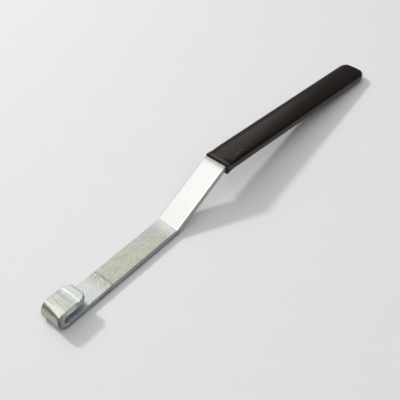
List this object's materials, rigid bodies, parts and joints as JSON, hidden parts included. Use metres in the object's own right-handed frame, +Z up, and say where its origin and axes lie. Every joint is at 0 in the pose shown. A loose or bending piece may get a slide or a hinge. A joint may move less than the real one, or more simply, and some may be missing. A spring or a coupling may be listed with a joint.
{
  "type": "hive tool",
  "caption": "Flat steel hive tool with a folded hook at one end, a raised offset handle and a soft vinyl grip, for prying, lifting and scraping frames.",
  "frame": {"origin": "on the underside of the flat working section, at the middle of its length and width", "axes": "+X along the tool from the hook to the grip, +Z up out of the face that the tool rests on, +Y across the bar"},
  "size_m": [0.2902, 0.018, 0.0252],
  "materials": {
    "zinc_steel": "bright zinc plate over flat bar, lightly scuffed",
    "black_vinyl": "satin soft vinyl"
  },
  "bodies": {
    "root": {"steel_bar": "zinc_steel", "vinyl_grip": "black_vinyl"}
  },
  "joints": []
}
